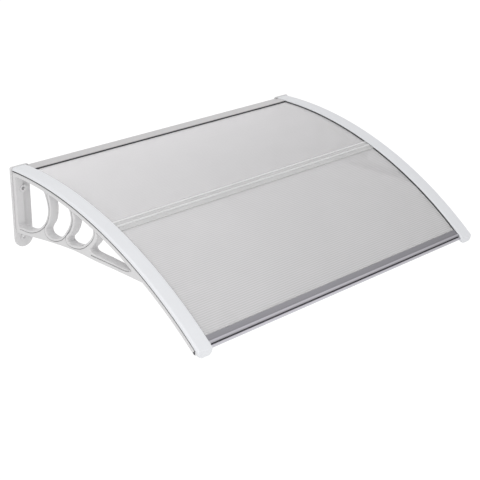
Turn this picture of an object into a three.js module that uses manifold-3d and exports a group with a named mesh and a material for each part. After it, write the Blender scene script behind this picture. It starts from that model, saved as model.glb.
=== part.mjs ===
// Door canopy: two twin-wall polycarbonate sheets, joined by a clear H profile and bent to one
// arc, lie on the arms of two moulded wall brackets. Cover trims close the sides, and aluminium
// bars close the rear edge at the wall and the front edge. Millimetres, +Z up.
// The wall is the plane y = 0, the canopy reaches towards -Y, and x = 0 is its middle.
// z = 0 is the height of the sheet's top face where its arc meets the wall.

import * as THREE from 'three';
import { mergeVertices } from 'three/addons/utils/BufferGeometryUtils.js';
import Module from 'manifold-3d';

const wasm = await Module();
wasm.setup();

// Overall sizes
const WIDTH = 1000;            // over both side trims
const SHEET_RADIUS = 1098;     // of the sheet's top face
const CREST = 75;              // from the wall to the highest line of the arc
const SHEET_RUN = 775;         // along the arc, from the wall to the sheet's front edge
const FIT = 0.3;               // gap between pieces that touch on the real canopy

// Sheets
const SHEET_THICK = 6;
const FLUTE_PITCH = 5.8;
const SKIN = 0.5;
const RIB = 0.4;
const SHEET_INSET = 6;         // sheet edge inside the trim's outer face
const SHEET_PLATE_GAP = 0.5;   // sheet's rear edge to the brackets' wall plates

// Joint profile between the sheets
const JOINT_FROM_WALL = 395;   // along the arc
const JOINT_WIDTH = 37;
const JOINT_FLANGE = 1.4;
const JOINT_WEB = 2.4;

// Rear bar
const BAR_WALL = 1.8;
const REAR_BAR_SHOULDER = 8;   // from the wall to where the top face is at its full height
const REAR_BAR_DEPTH = 43.5;
const REAR_BAR_LEDGE = 30;
const REAR_BAR_DROP = 22;
const REAR_BAR_BACK = 3;
const SEAL_HEIGHT = 2.3;
const SEAL_PROUD = 2;          // past the rear bar's front edge
const SEAL_EDGE = 1;

// Front bar
const FLANGE_LENGTH = 16.5;
const LOWER_FLANGE_LENGTH = 13.2;
const FLANGE_THICK = 2.3;
const BEAD_RISE = 1.1;
const BEAD_WIDTH = 9;
const BEAD_OVERHANG = 4;
const BAR_EDGE = 0.8;          // chamfers of the front bar
const GUTTER_WIDTH = 7;        // at its floor, under the bead
const GUTTER_DEPTH = 5;
const LIP_WIDTH = 6;
const LIP_RISE = 1.6;
const LIP_DROP = 5;
const LIP_ROUND = 2;
const LIP_CREST = 3.6;         // width of the lip's flat top
const PORT_RADIUS = 4.2;       // outside of the screw port under the gutter
const PORT_TURN = [145, 395];  // degrees round the port from the front bar's lip to its web

// Side trims
const TRIM_WIDTH = 43;
const TRIM_RISE = 7.2;
const TRIM_WALL = 2.4;
const TRIM_LIP = -0.3;
const TRIM_SHOULDER = 6.5;
const TRIM_INNER_ROUND = 0.9;  // share of the inner lip's height that its shoulder takes
const NOSE_THICK = 8.5;
const NOSE_DROP = 27;
const NOSE_CORNER = 18;
const NOSE_ROUND = 6.5;
const NOSE_EDGE = 2;
const SIDE_SEAL_WIDTH = 4;
const SIDE_SEAL_PROUD = 2;
const EDGE_SEAL_WIDTH = 2.8;

// Brackets
const BODY_WIDTH = 25;
const ARM_DEPTH = 8.6;
const UPSTAND_RISE = 2.1;
const TIP_RADIUS = 6.2;
const TIP_RAISE = 4;           // top of the round tip above the arm's top
const TIP_PAST_SHEET = 8.5;
const TIP_BLEND = 16;
const EDGE_ROUND = 2.2;
const PLATE_WIDTH = 55;
const PLATE_OVERHANG = 4;      // past the trim's outer face
const PLATE_THICK = 6;
const PLATE_TOP = 8.5;
const PLATE_BOTTOM = -222;
const PLATE_CORNER = 4;
const PLATE_EDGE = 1;
const RIB_DEPTH = 10;
const SCREW_HOLE_RADIUS = 3.6;
const SCREW_HOLE_SINK = 6.2;
const UPPER_HOLE_Z = -52;
const LOWER_HOLE_Z = -194;
const UPPER_BOSS_RADIUS = 10.5;
const UPPER_BOSS_RISE = 12.5;
const LOWER_BOSS_RADIUS = 12;
const LOWER_BOSS_RISE = 3;
const BEAM_MEETS_ARM = 545;    // from the wall
const BEAM_THICK = 14;
const BEAM_AT_WALL = -178;     // underside of the lower beam
// Distance from the wall as a share of BEAM_MEETS_ARM, and height, of the beam's underside
const BEAM_POINTS = [[0.275, -150.8], [0.495, -134.5], [0.661, -130.8], [0.826, -124.8]];
const OPENING_CORNER = 7;

// Front and floor lines of the openings, from the wall forwards. Each point gives its distance
// from the wall as a share of BEAM_MEETS_ARM, and its height between the beam's top face, 0, and
// the arm's underside, 1.
const FIRST_OPENING = [
  [0.073, 0.04], [0.121, 0.02], [0.169, 0.05], [0.22, 0.13], [0.266, 0.28], [0.292, 0.46],
  [0.301, 0.63], [0.295, 0.81], [0.275, 1],
];
const LATER_OPENINGS = [
  [
    [0.308, 1], [0.327, 0.76], [0.321, 0.49], [0.303, 0.31], [0.275, 0.17], [0.277, 0.06],
    [0.308, 0], [0.352, 0], [0.407, 0.11], [0.455, 0.39], [0.479, 0.63], [0.484, 0.81], [0.473, 1],
  ],
  [
    [0.503, 1], [0.514, 0.83], [0.505, 0.56], [0.477, 0.28], [0.45, 0.15], [0.448, 0.06],
    [0.47, 0], [0.51, 0], [0.56, 0.09], [0.606, 0.34], [0.639, 0.62], [0.653, 0.87], [0.653, 1],
  ],
  [
    [0.673, 1], [0.683, 0.83], [0.67, 0.57], [0.642, 0.29], [0.626, 0.16], [0.637, 0.07], [0.67, 0.05],
    [0.734, 0.05], [0.807, 0.02], [0.877, 0.04], [0.932, 0.5],
  ],
];
const GROOVE_WIDTH = 3.2;
const GROOVE_DEPTH = 2.2;
const GROOVE_START = 0.633;    // share of BEAM_MEETS_ARM
const GROOVE_RISE = 11;
const GROOVE_END = 42;         // short of where beam and arm meet

// Screws
const SCREW_STATIONS = [185, 290, 510, 640]; // from the wall, at the arm; one more is at the joint
const SHANK_RADIUS = 1.9;
const HEAD_RADIUS = 3.6;
const HEAD_HEIGHT = 2;
const HEAD_ROUND = 0.9;
const SCREW_CLEARANCE = 0.35;
const POCKET_DEPTH = 2.8;
const SCREW_IN_TRIM = 4.2;
const TRIM_BOSS_RADIUS = 4.4;
const TIP_SCREW_GRIP = 12;

// Straight steps that stand for a curve
const BEVEL_STEPS = 2;
const TRIM_STEPS = 26;
const SHOULDER_STEPS = 4;
const NOSE_STEPS = 6;
const PORT_STEPS = 10;
const TIP_STEPS = 8;
const BAR_STEPS = 6;
const ARM_STEPS = 30;
const OPENING_STEPS = 20;
const GROOVE_STEPS = 12;
const SHANK_SIDES = 10;
const HOLE_SIDES = 16;
const BOSS_SIDES = 24;

const PAST = 1;                // how far a cut or a joined solid runs past a face

const half = WIDTH / 2;
const centreY = -CREST;
const centreZ = -Math.sqrt(SHEET_RADIUS ** 2 - CREST ** 2);
const wallArc = Math.asin(CREST / SHEET_RADIUS) * SHEET_RADIUS;
const sheetEnd = SHEET_RUN - wallArc;
const jointAt = JOINT_FROM_WALL - wallArc;
const under = -SHEET_THICK - FIT;
const trimInner = half - TRIM_WIDTH;
const bodyInner = half - BODY_WIDTH;
const plateCentre = half + PLATE_OVERHANG - PLATE_WIDTH / 2;
const screwX = half - BODY_WIDTH / 2;
const barHalf = trimInner - FIT;

// A point of the curved section: arc length s from the crest towards the front, height h above
// the sheet's top face.
function onArc(s, h) {
  const a = s / SHEET_RADIUS;
  const r = SHEET_RADIUS + h;
  return new THREE.Vector2(centreY - r * Math.sin(a), centreZ + r * Math.cos(a));
}

// Arc length at which the height h lies the distance out from the wall.
function arcAt(out, h) {
  return Math.asin((out + centreY) / (SHEET_RADIUS + h)) * SHEET_RADIUS;
}

function arcPoints(s0, s1, h, steps) {
  const points = [];
  for (let i = 0; i <= steps; i += 1) points.push(onArc(s0 + (s1 - s0) * i / steps, h));
  return points;
}

function bendStrip(s0, s1, h0, h1, steps) {
  return [...arcPoints(s0, s1, h0, steps), ...arcPoints(s1, s0, h1, steps)];
}

function turn(centre, radius, from, to, steps) {
  const points = [];
  for (let i = 0; i <= steps; i += 1) {
    const a = THREE.MathUtils.degToRad(from + (to - from) * i / steps);
    points.push(new THREE.Vector2(centre.x + radius * Math.cos(a), centre.y + radius * Math.sin(a)));
  }
  return points;
}

// Rounds each corner of a closed outline where it turns by more than the given angle.
function roundCorners(points, radius, sharp = 35, steps = 4) {
  const share = 0.48;          // of a side, at most, that a rounding takes
  const out = [];
  for (let i = 0; i < points.length; i += 1) {
    const a = points[(i + points.length - 1) % points.length];
    const b = points[i];
    const c = points[(i + 1) % points.length];
    const u = a.clone().sub(b);
    const v = c.clone().sub(b);
    const open = Math.acos(THREE.MathUtils.clamp(u.dot(v) / (u.length() * v.length()), -1, 1));
    if (THREE.MathUtils.radToDeg(Math.PI - open) < sharp) {
      out.push(b);
    } else {
      const cut = Math.min(radius / Math.tan(open / 2), u.length() * share, v.length() * share);
      const p = b.clone().add(u.setLength(cut));
      const q = b.clone().add(v.setLength(cut));
      out.push(...new THREE.QuadraticBezierCurve(p, b, q).getPoints(steps));
    }
  }
  return out;
}

function extrude(points, depth, holes = [], bevel = 0) {
  const shape = new THREE.Shape(points);
  for (const hole of holes) shape.holes.push(new THREE.Path(hole));
  return new THREE.ExtrudeGeometry(shape, {
    depth: depth - 2 * bevel,
    bevelEnabled: bevel > 0,
    bevelThickness: bevel,
    bevelSize: bevel,
    bevelOffset: -bevel,
    bevelSegments: BEVEL_STEPS,
  }).translate(0, 0, bevel);
}

// Outline in (y, z), run from x0 to x1.
function alongX(points, x0, x1, holes = [], bevel = 0) {
  const geometry = extrude(points, x1 - x0, holes, bevel);
  const turned = new THREE.Matrix4().set(0, 0, 1, x0, 1, 0, 0, 0, 0, 1, 0, 0, 0, 0, 0, 1);
  return geometry.applyMatrix4(turned);
}

// Outline in (x, z), run from y0 towards the front to y1.
function alongY(points, y0, y1, bevel = 0) {
  const geometry = extrude(points, y0 - y1, [], bevel);
  const turned = new THREE.Matrix4().set(1, 0, 0, 0, 0, 0, -1, y0, 0, 1, 0, 0, 0, 0, 0, 1);
  return geometry.applyMatrix4(turned);
}

// Outline in (x, h), run along the arc from s0 to s1.
function alongArc(points, s0, s1, steps) {
  const shape = new THREE.Shape(points);
  const geometry = new THREE.ExtrudeGeometry(shape, { depth: s1 - s0, steps, bevelEnabled: false });
  const position = geometry.getAttribute('position');
  for (let i = 0; i < position.count; i += 1) {
    const p = onArc(s0 + position.getZ(i), position.getY(i));
    position.setXYZ(i, position.getX(i), p.x, p.y);
  }
  return geometry;
}

// A round bar whose radius runs from one value at its foot to another at its head, along an axis.
function tapered(head, foot, length, sides, centre, axis) {
  const geometry = new THREE.CylinderGeometry(head, foot, length, sides);
  const toAxis = new THREE.Quaternion().setFromUnitVectors(new THREE.Vector3(0, 1, 0), axis);
  return geometry.applyQuaternion(toAxis).translate(centre.x, centre.y, centre.z);
}

function cylinder(radius, length, sides, centre, axis) {
  return tapered(radius, radius, length, sides, centre, axis);
}

function cleaned(geometry) {
  const bare = geometry.clone();
  bare.deleteAttribute('normal');
  bare.deleteAttribute('uv');
  return mergeVertices(bare, 1e-4);
}

function solid(geometry) {
  const merged = cleaned(geometry);
  const vertProperties = new Float32Array(merged.getAttribute('position').array);
  const triVerts = new Uint32Array(merged.index.array);
  return new wasm.Manifold(new wasm.Mesh({ numProp: 3, vertProperties, triVerts }));
}

function geometryOf(body) {
  const mesh = body.getMesh();
  const geometry = new THREE.BufferGeometry();
  geometry.setAttribute('position', new THREE.BufferAttribute(new Float32Array(mesh.vertProperties), 3));
  geometry.setIndex(new THREE.BufferAttribute(new Uint32Array(mesh.triVerts), 1));
  return geometry;
}

function mirrored(geometry) {
  const copy = cleaned(geometry).scale(-1, 1, 1);
  const index = copy.index.array;
  for (let i = 0; i < index.length; i += 3) {
    const keep = index[i];
    index[i] = index[i + 1];
    index[i + 1] = keep;
  }
  return copy;
}

// The clamp screws stand square to the arc, on the line of the arm's middle.
function clampAxis(s) {
  const foot = onArc(s, under);
  const top = onArc(s, 0);
  const axis = new THREE.Vector3(0, top.x - foot.x, top.y - foot.y).normalize();
  return { axis, at: (h) => new THREE.Vector3(screwX, onArc(s, h).x, onArc(s, h).y) };
}

const clampArcs = [...SCREW_STATIONS.map((station) => arcAt(station, under)), jointAt];
const clamps = clampArcs.sort((a, b) => a - b).map(clampAxis);

function clampHole(clamp, radius, h0, h1) {
  return cylinder(radius, h1 - h0, SHANK_SIDES, clamp.at((h0 + h1) / 2), clamp.axis);
}

function sheetOutline(s0, s1) {
  const cells = Math.max(1, Math.floor((s1 - s0 - RIB) / FLUTE_PITCH));
  const margin = (s1 - s0 - cells * FLUTE_PITCH + RIB) / 2;
  const holes = [];
  for (let i = 0; i < cells; i += 1) {
    const a = s0 + margin + i * FLUTE_PITCH;
    const b = a + FLUTE_PITCH - RIB;
    const floor = SKIN - SHEET_THICK;
    holes.push([onArc(a, -SKIN), onArc(a, floor), onArc(b, floor), onArc(b, -SKIN)]);
  }
  return { outline: bendStrip(s0, s1, 0, -SHEET_THICK, Math.ceil(cells / 3)), holes };
}

function sheet(s0, s1) {
  const { outline, holes } = sheetOutline(s0, s1);
  const edge = half - SHEET_INSET;
  let body = solid(alongX(outline, -edge, edge, holes));
  for (const clamp of clamps) {
    const hole = clampHole(clamp, SHANK_RADIUS + SCREW_CLEARANCE, under - PAST, PAST);
    body = body.subtract(solid(hole)).subtract(solid(mirrored(hole)));
  }
  return geometryOf(body);
}

function jointProfile() {
  const a = jointAt - JOINT_WIDTH / 2;
  const b = jointAt + JOINT_WIDTH / 2;
  const web = JOINT_WEB / 2;
  const points = [
    ...arcPoints(a, b, FIT + JOINT_FLANGE, BAR_STEPS),
    onArc(b, FIT),
    onArc(jointAt + web, FIT),
    onArc(jointAt + web, under),
    onArc(b, under),
    ...arcPoints(b, a, under - JOINT_FLANGE, BAR_STEPS),
    onArc(a, under),
    onArc(jointAt - web, under),
    onArc(jointAt - web, FIT),
    onArc(a, FIT),
  ];
  return alongX(points, FIT - bodyInner, bodyInner - FIT);
}

const flangeFoot = FIT + SEAL_HEIGHT + FIT;

// The rear bar is a channel that takes the sheet's rear edge, with its back face on the wall.
function rearBar() {
  const atWall = (h) => arcAt(0, h);
  const front = arcAt(REAR_BAR_DEPTH, flangeFoot);
  const ledge = arcAt(REAR_BAR_LEDGE, under);
  const back = -REAR_BAR_BACK;
  const inside = (h) => arcAt(REAR_BAR_BACK, h);
  const shoulder = arcAt(REAR_BAR_SHOULDER, flangeFoot + BAR_WALL);
  const points = [
    onArc(atWall(flangeFoot), flangeFoot),
    ...arcPoints(shoulder, front, flangeFoot + BAR_WALL, BAR_STEPS),
    ...arcPoints(front, inside(flangeFoot), flangeFoot, BAR_STEPS),
    ...arcPoints(inside(under), ledge, under, BAR_STEPS),
    ...arcPoints(ledge, inside(under - BAR_WALL), under - BAR_WALL, BAR_STEPS),
    new THREE.Vector2(back, -REAR_BAR_DROP),
    new THREE.Vector2(0, -REAR_BAR_DROP),
  ];
  const bar = solid(alongX(points, -barHalf, barHalf));
  const side = plateCentre - PLATE_WIDTH / 2 - FIT;
  const throughBar = 4 * (REAR_BAR_DROP + SHEET_THICK);
  const notch = new THREE.BoxGeometry(WIDTH, 2 * (PLATE_THICK + FIT), throughBar);
  notch.translate(side + WIDTH / 2, 0, 0);
  return geometryOf(bar.subtract(solid(notch)).subtract(solid(mirrored(notch))));
}

const rearSealFront = arcAt(REAR_BAR_DEPTH, FIT) + SEAL_PROUD;

function rearSeal() {
  const back = rearSealFront - 2 * SEAL_PROUD;
  const tip = rearSealFront - SEAL_EDGE;
  const points = [
    ...arcPoints(back, rearSealFront, FIT, 2),
    onArc(rearSealFront, FIT + SEAL_HEIGHT / 2),
    ...arcPoints(tip, back, FIT + SEAL_HEIGHT, 2),
  ];
  return alongX(points, -barHalf, barHalf);
}

const tipAt = sheetEnd + TIP_PAST_SHEET;
const tipHeight = under - TIP_RADIUS + TIP_RAISE;

function tipCentre(x) {
  const p = onArc(tipAt, tipHeight);
  return new THREE.Vector3(x, p.x, p.y);
}

// The front bar grips the sheet between two flanges. A bead overhangs the gutter in front of them,
// a rounded lip closes it, and a round port under it takes the screws at the bar's ends.
function frontBarOutline() {
  const inner = sheetEnd + FIT;
  const web = inner + BAR_WALL;
  const bead = web + BEAD_OVERHANG;
  const gutter = web + GUTTER_WIDTH;
  const lip = gutter + LIP_WIDTH;
  const top = FIT + FLANGE_THICK;
  const flange = inner - FLANGE_LENGTH;
  const lowerFlange = inner - LOWER_FLANGE_LENGTH;
  const floor = -GUTTER_DEPTH;
  return [
    onArc(flange, FIT),
    onArc(flange + BAR_EDGE, top),
    onArc(bead - BEAD_WIDTH, top),
    onArc(bead - BEAD_WIDTH + BAR_EDGE, top + BEAD_RISE),
    onArc(bead - BAR_EDGE, top + BEAD_RISE),
    onArc(bead, top),
    onArc(bead, top - FLANGE_THICK / 2),
    onArc(web, top - FLANGE_THICK / 2),
    onArc(web, floor),
    onArc(gutter, floor),
    onArc(gutter, LIP_RISE - BAR_EDGE),
    onArc(gutter + BAR_EDGE, LIP_RISE),
    onArc(gutter + LIP_CREST, LIP_RISE),
    onArc(lip - BAR_EDGE, LIP_RISE / 2),
    onArc(lip, LIP_RISE / 2 - LIP_ROUND),
    onArc(lip, LIP_ROUND / 2 - LIP_DROP),
    onArc(lip - LIP_ROUND / 2, -LIP_DROP),
    ...portOutline(),
    onArc(web - BAR_WALL, floor - BAR_WALL),
    onArc(inner, under - BAR_WALL),
    onArc(lowerFlange, under - BAR_WALL),
    onArc(lowerFlange, under),
    onArc(inner, under),
    onArc(inner, FIT),
  ];
}

// Round underside of the screw port, from its front to its rear.
function portOutline() {
  const slope = THREE.MathUtils.radToDeg(tipAt / SHEET_RADIUS);
  const [start, end] = PORT_TURN;
  return turn(onArc(tipAt, tipHeight), PORT_RADIUS, slope + start, slope + end, PORT_STEPS).filter(
    (p) => p.distanceTo(new THREE.Vector2(centreY, centreZ)) < SHEET_RADIUS - GUTTER_DEPTH - BAR_WALL,
  );
}

const alongXAxis = new THREE.Vector3(1, 0, 0);

function frontBar() {
  const bore = turn(onArc(tipAt, tipHeight), SHANK_RADIUS + SCREW_CLEARANCE, 0, 360, SHANK_SIDES).slice(1);
  return alongX(frontBarOutline(), -barHalf, barHalf, [bore]);
}

const innerShoulder = (TRIM_RISE - flangeFoot) * TRIM_INNER_ROUND;

// Top of the right trim's cross-section in (x, h), from its outer face to its inner lip.
function trimTop() {
  const outer = new THREE.Vector2(half - TRIM_SHOULDER, TRIM_RISE - TRIM_SHOULDER);
  const inner = new THREE.Vector2(trimInner + innerShoulder, TRIM_RISE - innerShoulder);
  return [
    ...turn(outer, TRIM_SHOULDER, 0, 90, SHOULDER_STEPS),
    ...turn(inner, innerShoulder, 90, 180, SHOULDER_STEPS),
  ];
}

// The trim is an upside-down channel with round shoulders.
function trimSection() {
  const hollow = turn(new THREE.Vector2(half - TRIM_SHOULDER, TRIM_RISE - TRIM_SHOULDER),
    TRIM_SHOULDER - TRIM_WALL, 90, 0, SHOULDER_STEPS);
  return [
    new THREE.Vector2(half, TRIM_LIP),
    ...trimTop(),
    new THREE.Vector2(trimInner, flangeFoot),
    new THREE.Vector2(trimInner + TRIM_WALL, flangeFoot),
    new THREE.Vector2(trimInner + TRIM_WALL + innerShoulder, TRIM_RISE - TRIM_WALL),
    ...hollow,
    new THREE.Vector2(half - TRIM_WALL, TRIM_LIP),
  ];
}

const trimStart = arcAt(PLATE_THICK + FIT, TRIM_RISE);
const noseBack = onArc(tipAt, tipHeight).x - TIP_RADIUS - FIT;
const noseFront = noseBack - NOSE_THICK;
const noseTop = onArc(arcAt(-noseBack, TRIM_RISE), TRIM_RISE).y;
const noseBottom = noseTop - NOSE_DROP;

// The nose is a tab that closes the trim at the front and hangs in front of the arm's tip.
function nose() {
  const s0 = arcAt(-noseBack, TRIM_RISE);
  const s1 = arcAt(-noseFront, TRIM_RISE);
  const side = roundCorners([
    onArc(s0, TRIM_RISE),
    onArc(s1, TRIM_RISE),
    new THREE.Vector2(noseFront, noseBottom),
    new THREE.Vector2(noseBack, noseBottom),
  ], NOSE_ROUND, 45, NOSE_STEPS);
  const tab = roundCorners([
    new THREE.Vector2(trimInner, noseTop + NOSE_DROP),
    new THREE.Vector2(trimInner, noseBottom),
    new THREE.Vector2(half, noseBottom),
    new THREE.Vector2(half, noseTop + NOSE_DROP),
  ], NOSE_CORNER, 35, NOSE_STEPS);
  const top = [
    new THREE.Vector2(half, -2 * NOSE_DROP),
    ...trimTop(),
    new THREE.Vector2(trimInner, -2 * NOSE_DROP),
  ];
  const behind = noseBack + 2 * NOSE_EDGE;
  return solid(alongX(side, trimInner, half))
    .intersect(solid(alongY(tab, behind, noseFront, NOSE_EDGE)))
    .intersect(solid(alongArc(top, s0 - NOSE_DROP, s1 + NOSE_DROP, 2)));
}

// The cheek closes the trim's inner side between the sheet's front edge and the nose.
function cheek() {
  const back = sheetEnd + FIT;
  const foot = tipHeight - PORT_RADIUS;
  const outline = roundCorners([
    onArc(back, TRIM_RISE - TRIM_WALL),
    onArc(back, foot),
    new THREE.Vector2(noseBack - PAST, onArc(back, foot).y),
    new THREE.Vector2(noseBack - PAST, noseTop - TRIM_WALL),
  ], TRIM_WALL);
  return solid(alongX(outline, trimInner, trimInner + TRIM_WALL));
}

function rightTrim() {
  const end = arcAt(-noseBack, 0) + PAST;
  const channel = solid(alongArc(trimSection(), trimStart, end, TRIM_STEPS));
  const tipHole = cylinder(SHANK_RADIUS + SCREW_CLEARANCE, 2 * TRIM_WIDTH, SHANK_SIDES,
    tipCentre(trimInner), alongXAxis);
  let body = channel.add(nose()).add(cheek()).subtract(solid(tipHole));
  for (const clamp of clamps) {
    body = body.add(solid(clampHole(clamp, TRIM_BOSS_RADIUS, FIT, TRIM_RISE - TRIM_WALL / 2)));
    body = body.subtract(solid(clampHole(clamp, SHANK_RADIUS + SCREW_CLEARANCE, 0, SCREW_IN_TRIM + PAST)));
  }
  return geometryOf(body);
}

function sideSeal(s0, s1) {
  const inner = trimInner - SIDE_SEAL_PROUD;
  const points = [
    new THREE.Vector2(inner, FIT),
    new THREE.Vector2(inner + SIDE_SEAL_WIDTH, FIT),
    new THREE.Vector2(inner + SIDE_SEAL_WIDTH, FIT + SEAL_HEIGHT),
    new THREE.Vector2(inner + SIDE_SEAL_PROUD, FIT + SEAL_HEIGHT),
    new THREE.Vector2(inner, FIT + SEAL_HEIGHT * 0.7),
  ];
  return alongArc(points, s0, s1, TRIM_STEPS / 2);
}

const edgeSealInner = half - SHEET_INSET + FIT;

function edgeSeal() {
  const s0 = trimStart + 2;
  const outer = edgeSealInner + EDGE_SEAL_WIDTH;
  const points = [
    new THREE.Vector2(edgeSealInner, under + FIT),
    new THREE.Vector2(outer, under + FIT),
    new THREE.Vector2(outer, 0),
    new THREE.Vector2(edgeSealInner, 0),
  ];
  return alongArc(points, s0, sheetEnd, TRIM_STEPS);
}

// Bracket: lines of its side view, in (y, z)
const armFoot = under - ARM_DEPTH;

function armUnderside(out) {
  return onArc(arcAt(out, armFoot), armFoot);
}

const beamLine = new THREE.SplineCurve([
  new THREE.Vector2(0, BEAM_AT_WALL),
  ...BEAM_POINTS.map(([share, z]) => new THREE.Vector2(-share * BEAM_MEETS_ARM, z)),
  armUnderside(BEAM_MEETS_ARM),
]);

function beamUnderside(out) {
  let low = 0;
  let high = 1;
  for (let i = 0; i < 40; i += 1) {
    const mid = (low + high) / 2;
    if (-beamLine.getPoint(mid).x < out) low = mid;
    else high = mid;
  }
  return beamLine.getPoint(low).y;
}

function bodyOutline() {
  const rear = PLATE_THICK - PAST;
  const slope = THREE.MathUtils.radToDeg(tipAt / SHEET_RADIUS);
  const meet = arcAt(BEAM_MEETS_ARM, armFoot);
  return [
    new THREE.Vector2(-rear, BEAM_AT_WALL),
    ...arcPoints(arcAt(rear, under), tipAt - TIP_RADIUS / 2, under, ARM_STEPS),
    ...turn(onArc(tipAt, tipHeight), TIP_RADIUS, 90 + slope, 260 + slope, TIP_STEPS),
    ...arcPoints(tipAt - TIP_BLEND, meet, armFoot, BAR_STEPS),
    ...beamLine.getPoints(ARM_STEPS).reverse().slice(1, -1),
  ].filter((p) => p.x <= -rear);
}

// Point of an opening's outline, from its two shares.
function between(reach, rise) {
  const out = reach * BEAM_MEETS_ARM;
  const floor = beamUnderside(out) + BEAM_THICK;
  return new THREE.Vector2(-out, THREE.MathUtils.lerp(floor, armUnderside(out).y, rise));
}

function openingOutline(line, rear = []) {
  const curve = new THREE.SplineCurve(line.map(([reach, rise]) => between(reach, rise)));
  const [first] = rear.length ? rear[0] : line[0];
  const [last] = line[line.length - 1];
  return roundCorners([
    ...rear.map(([reach, rise]) => between(reach, rise)),
    ...curve.getPoints(OPENING_STEPS),
    between((2 * last + first) / 3, 1),
    between((last + 2 * first) / 3, 1),
  ], OPENING_CORNER);
}

function openings() {
  const rear = (PLATE_THICK + RIB_DEPTH) / BEAM_MEETS_ARM;
  const [, floor] = FIRST_OPENING[0];
  return [
    openingOutline(FIRST_OPENING, [[rear, 1], [rear, floor]]),
    ...LATER_OPENINGS.map((line) => openingOutline(line)),
  ];
}

function wallPlate() {
  const left = plateCentre - PLATE_WIDTH / 2;
  const right = plateCentre + PLATE_WIDTH / 2;
  const radius = PLATE_WIDTH / 2;
  const points = [
    new THREE.Vector2(right, PLATE_TOP - PLATE_CORNER),
    new THREE.Vector2(right - PLATE_CORNER, PLATE_TOP),
    new THREE.Vector2(left + PLATE_CORNER, PLATE_TOP),
    new THREE.Vector2(left, PLATE_TOP - PLATE_CORNER),
    ...turn(new THREE.Vector2(plateCentre, PLATE_BOTTOM + radius), radius, 180, 360, HOLE_SIDES),
  ];
  return alongY(points, 0, -PLATE_THICK, PLATE_EDGE);
}

// Decorative groove in the beam's outer face, which turns up where the beam runs out.
function beamGroove() {
  const start = GROOVE_START * BEAM_MEETS_ARM;
  const end = BEAM_MEETS_ARM - GROOVE_END;
  const rise = (out, height) => new THREE.Vector2(-out, beamUnderside(out) + height);
  const path = new THREE.SplineCurve([
    rise(start, GROOVE_RISE),
    rise((start + end) / 2, GROOVE_RISE),
    rise(end - 2 * GROOVE_RISE, GROOVE_RISE),
    rise(end, 1.5 * GROOVE_RISE),
  ]);
  const upper = [];
  const lower = [];
  for (let k = 0; k <= GROOVE_STEPS; k += 1) {
    const p = path.getPoint(k / GROOVE_STEPS);
    const t = path.getTangent(k / GROOVE_STEPS);
    const side = new THREE.Vector2(-t.y, t.x).multiplyScalar(GROOVE_WIDTH / 2);
    upper.push(p.clone().add(side));
    lower.unshift(p.clone().sub(side));
  }
  return alongX([...upper, ...lower], half - GROOVE_DEPTH, half + PAST);
}

const forward = new THREE.Vector3(0, -1, 0);

function onPlateAxis(z, y) {
  return new THREE.Vector3(plateCentre, y, z);
}

// Boss on the wall plate and, through it, the countersunk hole of a wall screw.
function wallScrewPlace(z, bossRadius, rise) {
  const face = -PLATE_THICK - rise;
  const sink = SCREW_HOLE_SINK - SCREW_HOLE_RADIUS;
  const past = 0.01;
  const bossMiddle = onPlateAxis(z, face + (rise + PAST) / 2);
  const boss = cylinder(bossRadius, rise + PAST, BOSS_SIDES, bossMiddle, forward);
  const shaft = cylinder(SCREW_HOLE_RADIUS, 2 * PAST - face, HOLE_SIDES, onPlateAxis(z, face / 2), forward);
  const seat = tapered(SCREW_HOLE_SINK + past, SCREW_HOLE_RADIUS, sink + past, HOLE_SIDES,
    onPlateAxis(z, face + (sink - past) / 2), forward);
  return { boss: solid(boss), hole: solid(shaft).add(solid(seat)) };
}

function rightBracket() {
  let body = solid(alongX(bodyOutline(), bodyInner, half, openings(), EDGE_ROUND));
  const upstand = bendStrip(arcAt(PLATE_THICK, under), tipAt - TIP_RADIUS / 2,
    under + UPSTAND_RISE, under - PAST, ARM_STEPS);
  body = body.add(solid(alongX(upstand, half - TRIM_WALL, half))).add(solid(wallPlate()));
  const wallScrews = [
    wallScrewPlace(UPPER_HOLE_Z, UPPER_BOSS_RADIUS, UPPER_BOSS_RISE),
    wallScrewPlace(LOWER_HOLE_Z, LOWER_BOSS_RADIUS, LOWER_BOSS_RISE),
  ];
  for (const { boss } of wallScrews) body = body.add(boss);
  for (const { hole } of wallScrews) body = body.subtract(hole);
  for (const clamp of clamps) {
    const shank = SHANK_RADIUS + SCREW_CLEARANCE;
    body = body.subtract(solid(clampHole(clamp, shank, armFoot - PAST, under + PAST)));
    body = body.subtract(solid(clampHole(clamp, HEAD_RADIUS + SCREW_CLEARANCE,
      armFoot - BEAM_THICK / 2, armFoot + POCKET_DEPTH)));
  }
  const tip = tipCentre(half);
  const tipHole = cylinder(SHANK_RADIUS + SCREW_CLEARANCE, 2 * BODY_WIDTH, SHANK_SIDES, tip, alongXAxis);
  const tipPocket = cylinder(HEAD_RADIUS + SCREW_CLEARANCE, 2 * POCKET_DEPTH, HOLE_SIDES, tip, alongXAxis);
  return geometryOf(body.subtract(solid(tipHole)).subtract(solid(tipPocket)).subtract(solid(beamGroove())));
}

// Pan-head screw along +Y, with its head's outer face at y = 0.
function screw(length) {
  const points = [
    new THREE.Vector2(0, 0),
    new THREE.Vector2(HEAD_RADIUS - HEAD_ROUND, 0),
    new THREE.Vector2(HEAD_RADIUS, HEAD_ROUND),
    new THREE.Vector2(HEAD_RADIUS, HEAD_HEIGHT),
    new THREE.Vector2(SHANK_RADIUS, HEAD_HEIGHT),
    new THREE.Vector2(SHANK_RADIUS, HEAD_HEIGHT + length - SHANK_RADIUS),
    new THREE.Vector2(0, HEAD_HEIGHT + length),
  ];
  return new THREE.LatheGeometry(points, SHANK_SIDES);
}

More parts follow.
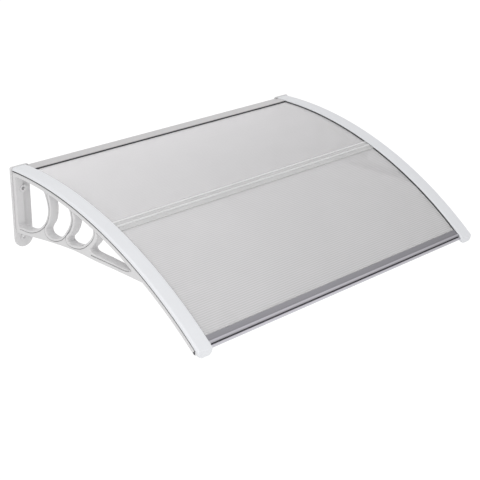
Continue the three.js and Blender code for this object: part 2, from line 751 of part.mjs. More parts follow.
function clampScrew(clamp) {
  const seat = armFoot + POCKET_DEPTH - FIT;
  const geometry = screw(SCREW_IN_TRIM - seat);
  const toAxis = new THREE.Quaternion().setFromUnitVectors(new THREE.Vector3(0, 1, 0), clamp.axis);
  const foot = clamp.at(seat - HEAD_HEIGHT);
  return geometry.applyQuaternion(toAxis).translate(foot.x, foot.y, foot.z);
}

function tipScrew() {
  const headX = half - POCKET_DEPTH + FIT + HEAD_HEIGHT;
  const geometry = screw(headX - HEAD_HEIGHT - barHalf + TIP_SCREW_GRIP);
  const foot = tipCentre(headX);
  return geometry.rotateZ(Math.PI / 2).translate(foot.x, foot.y, foot.z);
}

const plastic = () => new THREE.MeshStandardMaterial({ color: 0xdcdcdf, roughness: 0.45, metalness: 0 });
const aluminium = () => new THREE.MeshStandardMaterial({ color: 0xc9c9cb, roughness: 0.35, metalness: 0.9 });
const clear = () => new THREE.MeshStandardMaterial({
  color: 0xd6d8da, roughness: 0.2, metalness: 0, transparent: true, opacity: 0.6,
});
const rubber = () => new THREE.MeshStandardMaterial({ color: 0x2c2c2e, roughness: 0.85, metalness: 0 });
const steel = () => new THREE.MeshStandardMaterial({ color: 0xb4b4b6, roughness: 0.3, metalness: 1 });

const group = new THREE.Group();

function place(name, geometry, material) {
  const mesh = new THREE.Mesh(geometry, material);
  mesh.name = name;
  group.add(mesh);
}

function placePair(name, geometry, material) {
  place(`right_${name}`, geometry, material());
  place(`left_${name}`, mirrored(geometry), material());
}

placePair('bracket', rightBracket(), plastic);
placePair('side_trim', rightTrim(), plastic);
place('rear_bar', rearBar(), aluminium());
place('front_bar', frontBar(), aluminium());
place('rear_sheet', sheet(arcAt(PLATE_THICK + SHEET_PLATE_GAP, 0), jointAt - JOINT_WEB / 2 - FIT), clear());
place('front_sheet', sheet(jointAt + JOINT_WEB / 2 + FIT, sheetEnd), clear());
place('joint_profile', jointProfile(), clear());
place('rear_seal', rearSeal(), rubber());
const jointRear = jointAt - JOINT_WIDTH / 2 - FIT;
const jointFront = jointAt + JOINT_WIDTH / 2 + FIT;
placePair('rear_side_seal', sideSeal(rearSealFront + FIT, jointRear), rubber);
placePair('front_side_seal', sideSeal(jointFront, sheetEnd - FLANGE_LENGTH - FIT), rubber);
placePair('edge_seal', edgeSeal(), rubber);
clamps.forEach((clamp, i) => placePair(`clamp_screw_${i + 1}`, clampScrew(clamp), steel));
placePair('tip_screw', tipScrew(), steel);

export default group;
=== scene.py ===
# %% [markdown]
# # A door canopy of clear twin-wall sheet
# The canopy hangs on two moulded wall brackets. Two curved sheets with hollow flutes lie between them,
# joined by a clear profile, and aluminium bars close the sheets at the wall and at the front.
# The imported CAD model is the frame that everything here is fitted to, so it is loaded first, and its
# box is kept, which sets the height of the floor.

# %% Load the imported frame
import math

import bmesh
import bpy
from mathutils import Matrix, Vector


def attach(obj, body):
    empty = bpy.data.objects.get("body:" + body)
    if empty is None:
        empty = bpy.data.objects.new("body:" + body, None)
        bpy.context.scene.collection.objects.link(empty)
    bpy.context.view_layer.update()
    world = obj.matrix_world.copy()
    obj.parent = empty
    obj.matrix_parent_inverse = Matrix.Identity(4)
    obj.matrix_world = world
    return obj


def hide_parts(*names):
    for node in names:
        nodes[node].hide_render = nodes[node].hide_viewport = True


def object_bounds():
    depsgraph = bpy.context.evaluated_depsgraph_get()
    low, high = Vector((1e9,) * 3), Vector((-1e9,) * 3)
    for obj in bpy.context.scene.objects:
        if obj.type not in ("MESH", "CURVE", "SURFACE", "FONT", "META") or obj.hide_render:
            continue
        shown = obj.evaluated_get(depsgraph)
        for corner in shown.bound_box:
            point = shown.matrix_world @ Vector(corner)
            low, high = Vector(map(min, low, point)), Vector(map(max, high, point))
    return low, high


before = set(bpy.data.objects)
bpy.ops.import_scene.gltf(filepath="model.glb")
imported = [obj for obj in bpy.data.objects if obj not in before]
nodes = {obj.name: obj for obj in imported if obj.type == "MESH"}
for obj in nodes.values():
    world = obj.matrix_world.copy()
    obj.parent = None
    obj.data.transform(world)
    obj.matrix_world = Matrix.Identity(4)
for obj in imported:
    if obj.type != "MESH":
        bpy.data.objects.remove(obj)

cad_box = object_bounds()
print("frame:", len(nodes), "nodes, box", [round(v, 3) for corner in cad_box for v in corner])

# %% [markdown]
# ## Camera
# The picture is taken from the left, in front of the canopy and above it. Place, direction and roll are
# those of the photograph, found from the canopy's own straight edges, so the model's edges fall on the
# photographed ones. A camera's matrix holds its right, up and backward directions as columns.

# %% Camera
CAMERA_PLACE = Vector((-1.9188, -2.3904, 1.0480))
CAMERA_LOOK = Vector((0.62177, 0.66484, -0.41399))
CAMERA_ROLL = math.radians(1.1)
LENS_MM = 84.24

scene = bpy.context.scene
ahead = CAMERA_LOOK.normalized()
level = ahead.cross(Vector((0, 0, 1))).normalized()
upright = level.cross(ahead)
right = level * math.cos(CAMERA_ROLL) + upright * math.sin(CAMERA_ROLL)
up = upright * math.cos(CAMERA_ROLL) - level * math.sin(CAMERA_ROLL)
camera = bpy.data.objects.new("camera", bpy.data.cameras.new("camera"))
camera.data.lens = LENS_MM
camera.matrix_world = Matrix.Translation(CAMERA_PLACE) @ Matrix((right, up, -ahead)).transposed().to_4x4()
scene.collection.objects.link(camera)
scene.camera = camera
print("camera at", [round(v, 3) for v in camera.location])

# %% [markdown]
# ## Studio
# The photograph has a plain white ground and soft light from above. The floor and the world are white
# only for rays that show the background: those from the camera, from reflections and from light that
# passes through the clear sheets. All other rays meet a plain grey world, so that the white ground
# doesn't light the canopy.

# %% Helpers for node trees
def new_material(name):
    material = bpy.data.materials.new(name)
    material.use_nodes = True
    return material, material.node_tree


def node(tree, kind, settings=None, **inputs):
    """New node with its settings and with its inputs linked or set, by name or as i0, i1 and so on."""
    made = tree.nodes.new(kind)
    for key, value in (settings or {}).items():
        setattr(made, key, value)
    for key, value in inputs.items():
        socket = made.inputs[int(key[1:])] if key[0] == "i" and key[1:].isdigit() else made.inputs[key]
        if isinstance(value, bpy.types.NodeSocket):
            tree.links.new(value, socket)
        else:
            socket.default_value = value
    return made


def math_node(tree, operation, a, b=0.0, c=0.0, clamp=False):
    settings = {"operation": operation, "use_clamp": clamp}
    return node(tree, "ShaderNodeMath", settings, i0=a, i1=b, i2=c).outputs[0]


def scaled(tree, colour, factor):
    return node(tree, "ShaderNodeVectorMath", {"operation": "SCALE"}, i0=colour, Scale=factor).outputs[0]


def map_range(tree, value, span, results):
    """The value carried from the limits in span to those in results, and held at both ends."""
    limits = {"From Min": span[0], "From Max": span[1], "To Min": results[0], "To Max": results[1]}
    return node(tree, "ShaderNodeMapRange", Value=value, **limits).outputs["Result"]


def background_mask(tree):
    """1 for camera, glossy and transmission rays, otherwise 0."""
    path = node(tree, "ShaderNodeLightPath")
    seen = math_node(tree, "ADD", path.outputs["Is Camera Ray"], path.outputs["Is Glossy Ray"], clamp=True)
    return math_node(tree, "ADD", seen, path.outputs["Is Transmission Ray"], clamp=True)


# %% World
SKY_GREY = 0.77
WHITE = (1, 1, 1, 1)
world = bpy.data.worlds.new("studio")
scene.world = world
world.use_nodes = True
tree = world.node_tree
tree.nodes.clear()
lighting = node(tree, "ShaderNodeBackground", Color=WHITE, Strength=SKY_GREY)
shown = node(tree, "ShaderNodeBackground", Color=WHITE, Strength=1)
mix = node(tree, "ShaderNodeMixShader", i0=background_mask(tree), i1=lighting.outputs[0], i2=shown.outputs[0])
node(tree, "ShaderNodeOutputWorld", Surface=mix.outputs[0])
print("world:", SKY_GREY, "for light, 1 where it is seen")

# %% Floor
FLOOR_BELOW = 0.75       # from the lowest point of the canopy
FLOOR_REACH = 14
FLOOR_LIGHT = 0.9        # the floor's own grey for the light that it returns to the canopy
bm = bmesh.new()
bmesh.ops.create_grid(bm, x_segments=1, y_segments=1, size=FLOOR_REACH)
bmesh.ops.translate(bm, verts=bm.verts, vec=(0, 0, cad_box[0].z - FLOOR_BELOW))
floor_mesh = bpy.data.meshes.new("floor")
bm.to_mesh(floor_mesh)
bm.free()
floor = bpy.data.objects.new("floor", floor_mesh)
scene.collection.objects.link(floor)

floor_paint, tree = new_material("floor_paint")
paint = tree.nodes["Principled BSDF"]
paint.inputs["Roughness"].default_value = 0.9
paint.inputs["Specular IOR Level"].default_value = 0
paint.inputs["Emission Color"].default_value = WHITE
mask = background_mask(tree)
tree.links.new(mask, paint.inputs["Emission Strength"])
plain = map_range(tree, mask, (0, 1), (FLOOR_LIGHT, 1 - FLOOR_LIGHT))
tree.links.new(plain, paint.inputs["Base Color"])
floor.data.materials.append(floor_paint)
print("floor at z", round(cad_box[0].z - FLOOR_BELOW, 3))

# %% Lamps
def soft_lamp(name, place, aim, size, watts):
    """Square area lamp that faces the point aim."""
    light = bpy.data.lights.new(name, "AREA")
    light.size = size
    light.energy = watts
    lamp = bpy.data.objects.new(name, light)
    lamp.location = place
    lamp.rotation_mode = "QUATERNION"
    lamp.rotation_quaternion = (Vector(aim) - Vector(place)).to_track_quat("-Z", "Y")
    scene.collection.objects.link(lamp)


MIDDLE = (0, -0.4, -0.1)
LAMPS = {  # place, size in metres, power in watts
    "top_light": ((-1.4, -0.6, 1.2), 1.4, 6),
    "front_light": ((-1.5, -2.5, -0.2), 1.5, 11),
}
for name, (place, size, watts) in LAMPS.items():
    soft_lamp(name, place, MIDDLE, size, watts)

# %% [markdown]
# ## Shared surface effects
# Moulded plastic is never one flat colour: it has a faint cloudiness and a fine grain from the mould.
# Drawn aluminium has fine lines along its length. Both are node groups, because several materials use
# them with different amounts. They read Object coordinates, so the pattern stays on the piece. A third
# group tells where a point lies on the canopy's arc: its height above the sheet's top face, its run
# along the arc from the wall, and its place across the width.

# %% Node group helpers
FLOAT, COLOUR = "NodeSocketFloat", "NodeSocketColor"


def new_group(name, inputs, outputs):
    """Node group with float or colour sockets, given as name: (kind, default)."""
    group = bpy.data.node_groups.new(name, "ShaderNodeTree")
    for label, (kind, default) in inputs.items():
        socket = group.interface.new_socket(label, in_out="INPUT", socket_type=kind)
        socket.default_value = default
    for label, kind in outputs.items():
        group.interface.new_socket(label, in_out="OUTPUT", socket_type=kind)
    return group, group.nodes.new("NodeGroupInput"), group.nodes.new("NodeGroupOutput")


def use_group(tree, group, **inputs):
    """Node that uses the group. In an input's name here an underscore stands for a space."""
    made = node(tree, "ShaderNodeGroup", {"node_tree": group})
    for key, value in inputs.items():
        socket = made.inputs[key.replace("_", " ")]
        if isinstance(value, bpy.types.NodeSocket):
            tree.links.new(value, socket)
        else:
            socket.default_value = value
    return made


def band_ramp(tree, value, bands):
    """Grey tones that run from one (value, tone) pair to the next."""
    low, high = bands[0][0], bands[-1][0]
    ramp = node(tree, "ShaderNodeValToRGB", Fac=map_range(tree, value, (low, high), (0, 1)))
    stops = ramp.color_ramp.elements
    stops.remove(stops[1])
    for k, (place, tone) in enumerate(bands):
        stop = stops.new((place - low) / (high - low)) if k else stops[0]
        stop.color = (tone, tone, tone, 1)
    return ramp.outputs["Color"]


def bump(tree, height, depth):
    return node(tree, "ShaderNodeBump", Height=height, Distance=depth).outputs[0]


# %% Place on the arc
ARC_RADIUS = 1.098
CREST_FROM_WALL = 0.075
ARC_CENTRE = (0, -CREST_FROM_WALL, -math.sqrt(ARC_RADIUS ** 2 - CREST_FROM_WALL ** 2))
WALL_ARC = ARC_RADIUS * math.asin(CREST_FROM_WALL / ARC_RADIUS)

arc_group, _, result = new_group("place_on_arc", {}, {"Height": FLOAT, "Run": FLOAT, "Across": FLOAT})
coords = node(arc_group, "ShaderNodeTexCoord")
from_axis = node(arc_group, "ShaderNodeVectorMath", {"operation": "SUBTRACT"},
                 i0=coords.outputs["Object"], i1=ARC_CENTRE)
parts = node(arc_group, "ShaderNodeSeparateXYZ", Vector=from_axis.outputs[0])
flat = node(arc_group, "ShaderNodeVectorMath", {"operation": "MULTIPLY"},
            i0=from_axis.outputs[0], i1=(0, 1, 1))
radius = node(arc_group, "ShaderNodeVectorMath", {"operation": "LENGTH"}, i0=flat.outputs[0])
height = math_node(arc_group, "SUBTRACT", radius.outputs["Value"], ARC_RADIUS)
forward = math_node(arc_group, "MULTIPLY", parts.outputs["Y"], -1.0)
angle = math_node(arc_group, "ARCTAN2", forward, parts.outputs["Z"])
run = math_node(arc_group, "MULTIPLY_ADD", angle, ARC_RADIUS, WALL_ARC)
arc_group.links.new(height, result.inputs["Height"])
arc_group.links.new(run, result.inputs["Run"])
arc_group.links.new(parts.outputs["X"], result.inputs["Across"])

# %% Cloudy tint and mould grain
tint_group, given, result = new_group(
    "cloudy_tint",
    {"Colour": (COLOUR, (0.8, 0.8, 0.8, 1)), "Spread": (FLOAT, 0.03), "Scale": (FLOAT, 30.0)},
    {"Colour": COLOUR},
)
coords = node(tint_group, "ShaderNodeTexCoord")
cloud = node(tint_group, "ShaderNodeTexNoise", Vector=coords.outputs["Object"],
             Scale=given.outputs["Scale"], Detail=4.0, Roughness=0.6)
around = math_node(tint_group, "SUBTRACT", cloud.outputs["Fac"], 0.5)
wide = math_node(tint_group, "MULTIPLY", around, given.outputs["Spread"])
factor = math_node(tint_group, "MULTIPLY_ADD", wide, 2.0, 1.0)
tinted = scaled(tint_group, given.outputs["Colour"], factor)
tint_group.links.new(tinted, result.inputs["Colour"])

WEAR_SCALE = 14.0        # of the broad change in roughness
grain_group, given, result = new_group(
    "mould_grain",
    {"Scale": (FLOAT, 900.0), "Roughness": (FLOAT, 0.4), "Roughness spread": (FLOAT, 0.1)},
    {"Height": FLOAT, "Roughness": FLOAT},
)
coords = node(grain_group, "ShaderNodeTexCoord")
fine = node(grain_group, "ShaderNodeTexNoise", Vector=coords.outputs["Object"],
            Scale=given.outputs["Scale"], Detail=3.0, Roughness=0.5)
broad = node(grain_group, "ShaderNodeTexNoise", Vector=coords.outputs["Object"], Scale=WEAR_SCALE, Detail=3.0)
swing = math_node(grain_group, "SUBTRACT", broad.outputs["Fac"], 0.5)
swing = math_node(grain_group, "MULTIPLY", swing, given.outputs["Roughness spread"])
swing = math_node(grain_group, "ADD", swing, given.outputs["Roughness"], clamp=True)
grain_group.links.new(fine.outputs["Fac"], result.inputs["Height"])
grain_group.links.new(swing, result.inputs["Roughness"])

# %% Lines of a drawn bar
LINE_ROUGHNESS = 0.3     # how far the lines change roughness and tone
LINE_SHADE = 0.16

drawn_group, given, result = new_group(
    "drawn_lines",
    {"Along": (FLOAT, 2.0), "Across": (FLOAT, 1400.0), "Roughness": (FLOAT, 0.35)},
    {"Height": FLOAT, "Roughness": FLOAT, "Shade": FLOAT},
)
coords = node(drawn_group, "ShaderNodeTexCoord")
stretch = node(drawn_group, "ShaderNodeCombineXYZ", X=given.outputs["Along"], Y=given.outputs["Across"],
               Z=given.outputs["Across"])
drawn = node(drawn_group, "ShaderNodeVectorMath", {"operation": "MULTIPLY"},
             i0=coords.outputs["Object"], i1=stretch.outputs[0])
lines = node(drawn_group, "ShaderNodeTexNoise", Vector=drawn.outputs[0], Scale=1.0, Detail=3.0)
shift = math_node(drawn_group, "SUBTRACT", lines.outputs["Fac"], 0.5)
rough = math_node(drawn_group, "MULTIPLY_ADD", shift, LINE_ROUGHNESS, given.outputs["Roughness"])
shade = math_node(drawn_group, "MULTIPLY_ADD", shift, LINE_SHADE, 1.0)
drawn_group.links.new(lines.outputs["Fac"], result.inputs["Height"])
drawn_group.links.new(rough, result.inputs["Roughness"])
drawn_group.links.new(shade, result.inputs["Shade"])
print("groups:", [g.name for g in bpy.data.node_groups])

# %% [markdown]
# ## White moulded plastic
# Brackets and side trims are one satin plastic of a cool white. The grain is a few hundredths of a
# millimetre deep, which is enough to soften the highlights. Grooves, holes and gaps a few millimetres
# wide are painted darker than the open faces, as painted shade where they see little open sky.

# %% White plastic
RECESS_REACH = 0.006
RECESS_OPEN = (0.1, 0.6)  # share of open sky at which the painted shade is full, and at which it ends
RECESS_SHADE_TONE = 0.30
PLASTIC_IOR = 1.46
MOULD_GRAIN_DEPTH = 0.00006


def grained_material(name, tint, grain, depth):
    """Material with a cloudy tint and with a grain of this depth. It comes with the tinted colour."""
    material, tree = new_material(name)
    shader = tree.nodes["Principled BSDF"]
    tinted = use_group(tree, tint_group, **tint).outputs["Colour"]
    grained = use_group(tree, grain_group, **grain)
    tree.links.new(tinted, shader.inputs["Base Color"])
    tree.links.new(grained.outputs["Roughness"], shader.inputs["Roughness"])
    tree.links.new(bump(tree, grained.outputs["Height"], depth), shader.inputs["Normal"])
    return material, tinted


def moulded_plastic(name, colour, roughness):
    tint = {"Colour": colour, "Spread": 0.025, "Scale": 22.0}
    grain = {"Scale": 1100.0, "Roughness": roughness, "Roughness_spread": 0.12}
    material, tinted = grained_material(name, tint, grain, MOULD_GRAIN_DEPTH)
    tree = material.node_tree
    shader = tree.nodes["Principled BSDF"]
    # painted shade: the colour is darkened in grooves, holes and gaps by how little open sky they see
    open_sky = node(tree, "ShaderNodeAmbientOcclusion", {"samples": 8}, Distance=RECESS_REACH)
    painted_shade = map_range(tree, open_sky.outputs["AO"], RECESS_OPEN, (RECESS_SHADE_TONE, 1.0))
    tree.links.new(scaled(tree, tinted, painted_shade), shader.inputs["Base Color"])
    shader.inputs["IOR"].default_value = PLASTIC_IOR
    return material


trim_plastic = moulded_plastic("trim_plastic", (0.80, 0.81, 0.835, 1), 0.38)
# painted shade: the brackets take the trims' plastic made darker, standing in for the lesser light on their
# faces
shaded_bracket_plastic = moulded_plastic("shaded_bracket_plastic", (0.71, 0.705, 0.71, 1), 0.42)
print("plastics:", trim_plastic.name, shaded_bracket_plastic.name)

# %% [markdown]
# ## Aluminium, rubber and steel
# The bars are drawn aluminium with fine lines along X. The seals are dull rubber with a little dust,
# and the screws are zinc plated. The screw at the tip of each arm is painted dark, as painted shade for its
# pocket.

# %% Metals
DRAWN_LINE_DEPTH = 0.00002
RUBBER_GRAIN_DEPTH = 0.0001
SCREW_GRAIN_DEPTH = 0.00003
BAR_HUE = (1.0, 0.985, 1.06)
# Run and tone of the front bar along the arc, as painted reflections: its flange is dull, the bead a painted
# highlight, a painted shadow in the groove after it, and the lip bright.
BAR_REFLECTION_BANDS = [
    (0.7550, 0.30), (0.7740, 0.29), (0.7748, 0.50), (0.7784, 0.50), (0.7791, 0.36), (0.7834, 0.42),
    (0.7842, 0.58), (0.7950, 0.62),
]
BAR_PAINTED_SHADE_ACROSS = (-0.1, 0.45)  # where across the width the painted shade of the front bar begins and ends
BAR_PAINTED_SHADE = (1.0, 0.78)


def bar_tones(tree):
    """Colour of the front bar from its bands of painted reflection, with painted shade towards the right."""
    place = use_group(tree, arc_group)
    tones = band_ramp(tree, place.outputs["Run"], BAR_REFLECTION_BANDS)
    # painted shade: the front bar is dimmer towards the right
    painted_shade_factor = map_range(tree, place.outputs["Across"], BAR_PAINTED_SHADE_ACROSS, BAR_PAINTED_SHADE)
    toned = scaled(tree, tones, painted_shade_factor)
    return node(tree, "ShaderNodeVectorMath", {"operation": "MULTIPLY"}, i0=toned, i1=BAR_HUE).outputs[0]


def drawn_metal(name, colour, roughness):
    """Aluminium with lines along X. The colour is one value, or a function that makes it in the tree."""
    material, tree = new_material(name)
    shader = tree.nodes["Principled BSDF"]
    drawn = use_group(tree, drawn_group, Roughness=roughness)
    base = colour(tree) if callable(colour) else colour
    tint = use_group(tree, tint_group, Colour=base, Spread=0.04, Scale=9.0)
    shaded = scaled(tree, tint.outputs["Colour"], drawn.outputs["Shade"])
    tree.links.new(shaded, shader.inputs["Base Color"])
    tree.links.new(drawn.outputs["Roughness"], shader.inputs["Roughness"])
    tree.links.new(bump(tree, drawn.outputs["Height"], DRAWN_LINE_DEPTH), shader.inputs["Normal"])
    shader.inputs["Metallic"].default_value = 1
    return material


wall_bar_metal = drawn_metal("wall_bar_metal", (0.57, 0.56, 0.565, 1), 0.42)
gutter_bar_metal = drawn_metal("gutter_bar_metal", bar_tones, 0.34)

seal_rubber, _ = grained_material(
    "seal_rubber",
    {"Colour": (0.028, 0.028, 0.031, 1), "Spread": 0.35, "Scale": 160.0},
    {"Scale": 1600.0, "Roughness": 0.72, "Roughness_spread": 0.2},
    RUBBER_GRAIN_DEPTH,
)


def plated_steel(name, colour):
    tint = {"Colour": colour, "Spread": 0.12, "Scale": 400.0}
    grain = {"Scale": 2500.0, "Roughness": 0.3, "Roughness_spread": 0.25}
    material, _ = grained_material(name, tint, grain, SCREW_GRAIN_DEPTH)
    material.node_tree.nodes["Principled BSDF"].inputs["Metallic"].default_value = 1
    return material


screw_plate = plated_steel("screw_plate", (0.62, 0.62, 0.63, 1))
# painted shade: the tip screw is coloured dark to stand in for the shade in its pocket
dark_screw = plated_steel("dark_screw", (0.10, 0.10, 0.11, 1))
METALS = (wall_bar_metal, gutter_bar_metal, seal_rubber, screw_plate, dark_screw)
print("metals and rubber:", [m.name for m in METALS])

# %% [markdown]
# ## Clear twin-wall sheet
# The sheet is two thin skins with ribs between them, and the model has those flutes. Light passes
# through the skins, but each rib catches it, so the sheet looks milky where the eye meets many ribs
# and shows fine lines where it looks down between them. The material tells skins from ribs by the
# height above the sheet's arc, which is the distance from the arc's axis.

# %% Twin-wall material
SHEET_THICK = 0.006
SKIN_ZONE = 0.0006       # depth under either face that counts as skin
SHEET_IOR = 1.5
# painted light: the sheet is painted brighter at the wall and on the left, and dimmer towards the front and
# the right
PAINTED_LIGHT_AT_WALL = 1.09
PAINTED_LIGHT_FADE = 0.46         # per metre of run
PAINTED_LIGHT_LEAN = 0.08         # per metre of width
FLUTE_PITCH = 0.0058
FIRST_RIBS = (0.00861, 0.39725)  # run of the first rib behind and in front of the joint
JOINT_RUN = 0.395
FLUTE_RUN = (0.1, 0.75)          # where the flute lines begin and cease to grow stronger
FLUTE_SHADE = (0.014, 0.095)     # their strength at those two places


# painted light and shade along the flutes, on top of the ribs' real geometry
def flute_lines(tree, run):
    """Factor near 1 of painted light over the ribs and painted shade between them, more so towards the front.
    """
    in_front = math_node(tree, "GREATER_THAN", run, JOINT_RUN)
    start = math_node(tree, "MULTIPLY_ADD", in_front, FIRST_RIBS[1] - FIRST_RIBS[0], FIRST_RIBS[0])
    turns = math_node(tree, "DIVIDE", math_node(tree, "SUBTRACT", run, start), FLUTE_PITCH / math.tau)
    strength = map_range(tree, run, FLUTE_RUN, FLUTE_SHADE)
    return math_node(tree, "MULTIPLY_ADD", math_node(tree, "COSINE", turns), strength, 1.0)


def twin_wall(name, colour, skin_alpha, rib_alpha, roughness):
    material, tree = new_material(name)
    shader = tree.nodes["Principled BSDF"]
    place = use_group(tree, arc_group)
    above_middle = math_node(tree, "ADD", place.outputs["Height"], SHEET_THICK / 2)
    from_middle = math_node(tree, "ABSOLUTE", above_middle)
    is_rib = math_node(tree, "LESS_THAN", from_middle, SHEET_THICK / 2 - SKIN_ZONE)
    alpha = math_node(tree, "MULTIPLY_ADD", is_rib, rib_alpha - skin_alpha, skin_alpha)
    tint = use_group(tree, tint_group, Colour=colour, Spread=0.03, Scale=5.0)
    # painted light: brighter near the wall and on the left, dimmer towards the front and the right
    painted_light = math_node(tree, "MULTIPLY_ADD", place.outputs["Run"], -PAINTED_LIGHT_FADE, PAINTED_LIGHT_AT_WALL)
    painted_light = math_node(tree, "ADD", painted_light, math_node(tree, "MULTIPLY", place.outputs["Across"], -PAINTED_LIGHT_LEAN))
    painted_light = math_node(tree, "MULTIPLY", painted_light, flute_lines(tree, place.outputs["Run"]))
    grain = use_group(tree, grain_group, Scale=60.0, Roughness=roughness, Roughness_spread=0.1)
    tree.links.new(scaled(tree, tint.outputs["Colour"], painted_light), shader.inputs["Base Color"])
    tree.links.new(grain.outputs["Roughness"], shader.inputs["Roughness"])
    tree.links.new(alpha, shader.inputs["Alpha"])
    shader.inputs["IOR"].default_value = SHEET_IOR
    return material


clear_sheet = twin_wall("clear_sheet", (0.95, 0.94, 0.95, 1), skin_alpha=0.38, rib_alpha=0.70, roughness=0.22)

# %% Joint material
# Run, tone and cover of the joint profile from its rear edge to its front edge; the tones are painted
# highlights and shade
JOINT_PAINTED_LIGHT_BANDS = [
    (0.3760, 0.91, 0.75), (0.3800, 0.91, 0.75), (0.3815, 0.95, 0.30), (0.3915, 0.95, 0.30),
    (0.3930, 0.90, 0.70), (0.3970, 0.90, 0.70), (0.3985, 0.93, 0.32), (0.4105, 0.93, 0.32),
    (0.4118, 0.72, 0.50), (0.4145, 0.72, 0.50),
]


def clear_joint(name):
    """Nearly clear plastic, whiter along its rear edge and its web as painted highlights, and greyer at its
    front edge as painted shade.
    """
    material, tree = new_material(name)
    shader = tree.nodes["Principled BSDF"]
    run = use_group(tree, arc_group).outputs["Run"]
    # painted light: highlights at the rear edge and the web, a middle lightened against the shade under it,
    # and painted shade at the front edge
    tone, cover = (band_ramp(tree, run, [(row[0], row[k]) for row in JOINT_PAINTED_LIGHT_BANDS]) for k in (1, 2))
    tint = use_group(tree, tint_group, Colour=tone, Spread=0.03, Scale=5.0)
    grain = use_group(tree, grain_group, Scale=60.0, Roughness=0.14, Roughness_spread=0.08)
    tree.links.new(tint.outputs["Colour"], shader.inputs["Base Color"])
    tree.links.new(cover, shader.inputs["Alpha"])
    tree.links.new(grain.outputs["Roughness"], shader.inputs["Roughness"])
    return material


clear_profile = clear_joint("clear_profile")
print("clear plastics:", clear_sheet.name, clear_profile.name)

# %% [markdown]
# ## Brackets and trims
# The frame's meshes are loose triangles. A copy with its doubles merged can be shaded smooth: flat
# faces stay flat, because a face's size weighs its normal, and the narrow chamfers between them then
# turn the light like moulded edges.

# %% Smooth copies
SMOOTH_BELOW = math.radians(50)
FLAT_WITHIN = math.radians(0.3)
MERGE_WITHIN = 1e-7      # metres, so that only doubles merge and the mesh stays closed


def merged_mesh(node_name):
    bm = bmesh.new()
    bm.from_mesh(nodes[node_name].data)
    bmesh.ops.remove_doubles(bm, verts=bm.verts, dist=MERGE_WITHIN)
    mesh = bpy.data.meshes.new(f"{node_name}_merged")
    bm.to_mesh(mesh)
    bm.free()
    return mesh


def smooth_copy(name, material, node_name, source):
    """Smooth-shaded piece from a merged mesh that stands for a CAD node."""
    bm = bmesh.new()
    bm.from_mesh(source)
    bmesh.ops.dissolve_limit(bm, angle_limit=FLAT_WITHIN, verts=bm.verts, edges=bm.edges)
    for face in bm.faces:
        face.smooth = True
    for edge in bm.edges:
        edge.smooth = edge.calc_face_angle(0) < SMOOTH_BELOW
    mesh = bpy.data.meshes.new(name)
    bm.to_mesh(mesh)
    bm.free()
    mesh.materials.append(material)
    piece = bpy.data.objects.new(name, mesh)
    scene.collection.objects.link(piece)
    weigh = piece.modifiers.new("weigh_normals", "WEIGHTED_NORMAL")
    weigh.keep_sharp = True
    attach(piece, "root")
    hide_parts(node_name)
    print(name, len(mesh.polygons), "faces")
    return piece


# %% [markdown]
# The three round openings of each bracket have a rim on the outer face, set off by a fine groove. The
# groove follows the opening's own edge in the CAD mesh at the rim's distance, and ends under the arm.

# %% Grooves around the openings
FACE_X = 0.5             # the outer face, from the middle of the canopy
ON_FACE = 1e-5
FACING = 0.999           # a face's X part of its normal when it lies flat in the outer face
RIM = 0.0044             # from the opening's rounded edge to the groove's middle
GROOVE_TOP = 0.0009      # half width at the face, and at the floor of the groove
GROOVE_FLOOR = 0.0004
GROOVE_DEEP = 0.0026
GROOVE_PAST = 0.0008     # how far the cutter stands out of the face
ROUND_OPENING = (0.08, 0.16)  # least and greatest span of a round opening
BELOW_ARC = 0.012        # the groove keeps this far from the arm and from the wall
OFF_WALL = 0.024
STEP = 0.0025            # along the groove
SMOOTHINGS = 3


def face_loops(mesh):
    """Closed loops, as lists of (y, z), around the flat part of the bracket's outer face."""
    bm = bmesh.new()
    bm.from_mesh(mesh)
    left = {e: True for e in bm.edges
            if all(abs(abs(v.co.x) - FACE_X) < ON_FACE for v in e.verts)
            and sum(abs(f.normal.x) > FACING for f in e.link_faces) == 1}
    loops = []
    while left:
        edge = next(iter(left))
        del left[edge]
        chain = list(edge.verts)
        while True:
            following = [e for e in chain[-1].link_edges if e in left]
            if not following:
                break
            del left[following[0]]
            chain.append(following[0].other_vert(chain[-1]))
        if chain[0] == chain[-1]:
            loops.append([Vector((v.co.y, v.co.z)) for v in chain[:-1]])
    bm.free()
    return loops


def even_points(loop):
    """The closed loop in even steps, with its small kinks smoothed out."""
    sides = [(b - a).length for a, b in zip(loop, loop[1:] + loop[:1])]
    count = round(sum(sides) / STEP)
    points, at, walked = [], 0, 0.0
    for k in range(count):
        goal = sum(sides) * k / count
        while walked + sides[at] < goal:
            walked += sides[at]
            at += 1
        points.append(loop[at].lerp(loop[(at + 1) % len(loop)], (goal - walked) / sides[at]))
    for _ in range(SMOOTHINGS):
        points = [(points[k - 1] + 2 * points[k] + points[(k + 1) % count]) / 4 for k in range(count)]
    return points


def arc_height(point):
    """Height of a (y, z) point above the sheet's top face."""
    return (point - Vector(ARC_CENTRE[1:])).length - ARC_RADIUS


def groove_path(loop):
    """Middle line and outward direction of the groove around one opening."""
    points = even_points(loop)
    count = len(points)
    turn = sum(a.cross(b) for a, b in zip(points, points[1:] + points[:1]))
    path = []
    for k, point in enumerate(points):
        along = (points[(k + 1) % count] - points[k - 1]).normalized()
        outward = Vector((along.y, -along.x)) * (1 if turn > 0 else -1)
        path.append((point + outward * RIM, outward))
    keep = [arc_height(p) < -BELOW_ARC and -p.x > OFF_WALL for p, _ in path]
    start = next(k for k in range(count) if keep[k] and not keep[k - 1])
    ordered = [(path[(start + k) % count], keep[(start + k) % count]) for k in range(count)]
    length = next(k for k in range(count) if not ordered[k][1])
    return [pair for pair, _ in ordered[:length]]


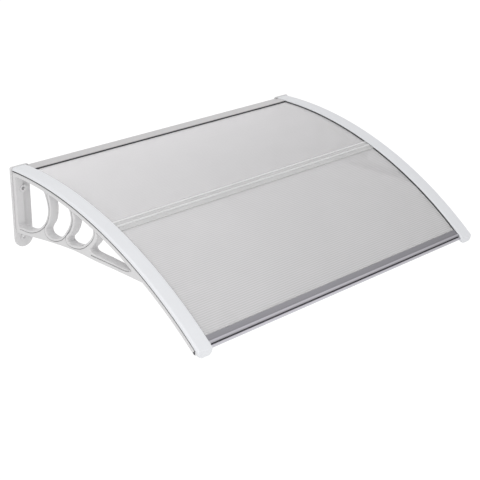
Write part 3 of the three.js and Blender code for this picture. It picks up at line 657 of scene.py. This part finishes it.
def groove_cutter(path, sign):
    """Closed wedge along the path that reaches from just outside the face to the groove's floor."""
    bm = bmesh.new()
    rows = []
    corners = ((-GROOVE_PAST, GROOVE_TOP), (-GROOVE_PAST, -GROOVE_TOP),
               (GROOVE_DEEP, -GROOVE_FLOOR), (GROOVE_DEEP, GROOVE_FLOOR))
    for point, outward in path:
        row = []
        for deep, reach in corners:
            p = point + outward * reach
            row.append(bm.verts.new((sign * (FACE_X - deep), p.x, p.y)))
        rows.append(row)
    for a, b in zip(rows, rows[1:]):
        for k in range(4):
            bm.faces.new((a[k], a[(k + 1) % 4], b[(k + 1) % 4], b[k]))
    bm.faces.new(rows[0][::-1])
    bm.faces.new(rows[-1])
    bmesh.ops.recalc_face_normals(bm, faces=bm.faces)
    mesh = bpy.data.meshes.new("groove_cutter")
    bm.to_mesh(mesh)
    bm.free()
    return mesh


def grooved(mesh, sign):
    """The bracket's mesh with the grooves cut into its outer face."""
    piece = bpy.data.objects.new("bracket_blank", mesh)
    scene.collection.objects.link(piece)
    cutters = []
    for loop in face_loops(mesh):
        spans = [max(p[i] for p in loop) - min(p[i] for p in loop) for i in (0, 1)]
        if not all(ROUND_OPENING[0] < span < ROUND_OPENING[1] for span in spans):
            continue
        cutter = bpy.data.objects.new("groove_cutter", groove_cutter(groove_path(loop), sign))
        scene.collection.objects.link(cutter)
        cut = piece.modifiers.new("groove", "BOOLEAN")
        cut.operation = "DIFFERENCE"
        cut.solver = "EXACT"
        cut.object = cutter
        cutters.append(cutter)
    depsgraph = bpy.context.evaluated_depsgraph_get()
    result = bpy.data.meshes.new_from_object(piece.evaluated_get(depsgraph))
    for item in (piece, *cutters):
        bpy.data.objects.remove(item)
    print("grooves:", len(cutters), "faces", len(mesh.polygons), "to", len(result.polygons))
    return result


# %% Place the mouldings
for side, sign in (("left", -1), ("right", 1)):
    bracket = grooved(merged_mesh(f"{side}_bracket"), sign)
    piece = smooth_copy(f"{side}_bracket_moulding", shaded_bracket_plastic, f"{side}_bracket", bracket)
    trim = merged_mesh(f"{side}_side_trim")
    piece = smooth_copy(f"{side}_trim_moulding", trim_plastic, f"{side}_side_trim", trim)

# %% Dress the nodes that keep their shape
DRESS = {
    "rear_bar": wall_bar_metal,
    "front_bar": gutter_bar_metal,
    "rear_sheet": clear_sheet,
    "front_sheet": clear_sheet,
    "joint_profile": clear_profile,
}


def dress_of(name):
    """Material of a CAD node that keeps its shape, or None."""
    if name in DRESS:
        return DRESS[name]
    if "seal" in name:
        return seal_rubber
    if "screw" in name:
        return dark_screw if "tip" in name else screw_plate
    return None


dressed = {name: dress_of(name) for name in nodes if dress_of(name)}
for name, material in dressed.items():
    for slot in nodes[name].material_slots:
        slot.material = material
print("dressed:", len(dressed), "nodes")

# %% [markdown]
# ## Finish
# The colours are shown as they are written, without a film look.

# %% View
scene.view_settings.view_transform = "Standard"
